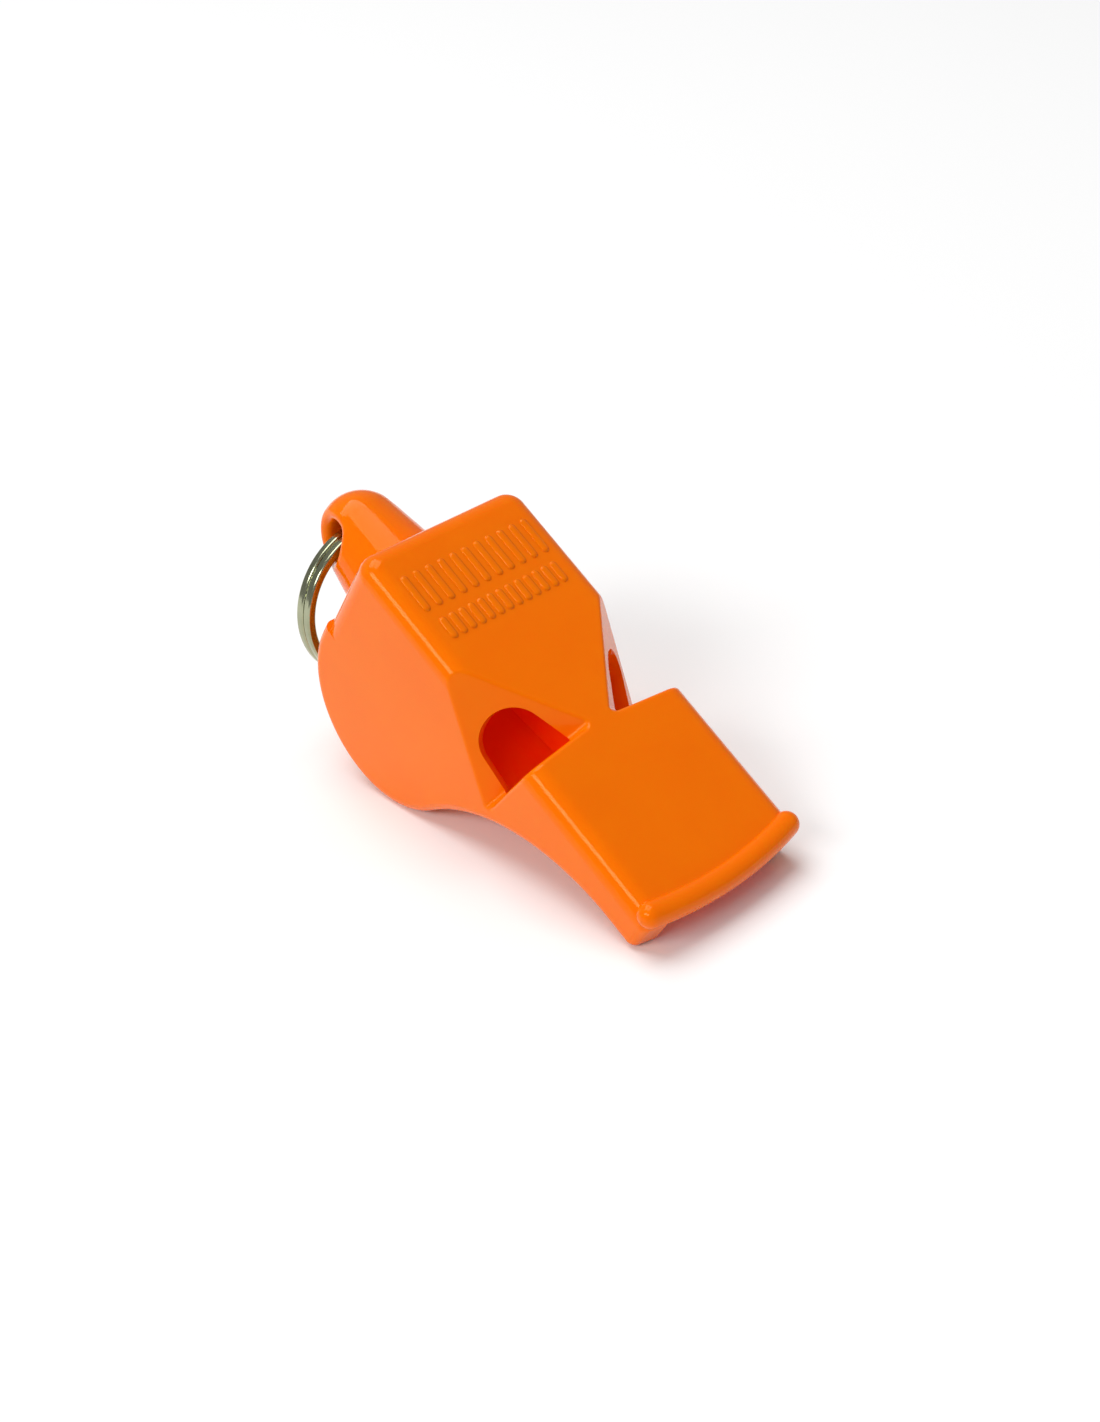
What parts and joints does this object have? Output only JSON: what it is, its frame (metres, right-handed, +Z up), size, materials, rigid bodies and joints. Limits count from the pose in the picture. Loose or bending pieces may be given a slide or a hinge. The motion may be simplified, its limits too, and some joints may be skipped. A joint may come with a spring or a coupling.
{
  "type": "training whistle",
  "caption": "Pealess training whistle with a deep round body, thin wide mouthpiece, corner windows and a rear lug that carries a split ring.",
  "frame": {"origin": "centre of the overall box on the surface that the whistle rests on, with its belly and the tip of its mouthpiece touching that surface", "axes": "+X forward towards the mouthpiece, +Y across to the left, +Z up; the deck is nose down by about 32 degrees"},
  "size_m": [0.0564, 0.0212, 0.0278],
  "materials": {
    "body_plastic": "glossy moulded orange ABS",
    "belly_plastic": "glossy moulded orange ABS",
    "insert_plastic": "moulded orange ABS",
    "ring_metal": "nickel-plated spring steel"
  },
  "bodies": {
    "whistle": {"upper_shell": "body_plastic", "belly_shell": "belly_plastic", "chamber_insert": "insert_plastic"},
    "ring": {"split_ring": "ring_metal"}
  },
  "joints": [
    {"name": "ring_swing", "type": "hinge", "parent": "whistle", "child": "ring", "pos_m": [-0.02409, 0, 0.02261], "axis": [0, 1, 0], "range_deg": [-2, 230]}
  ]
}
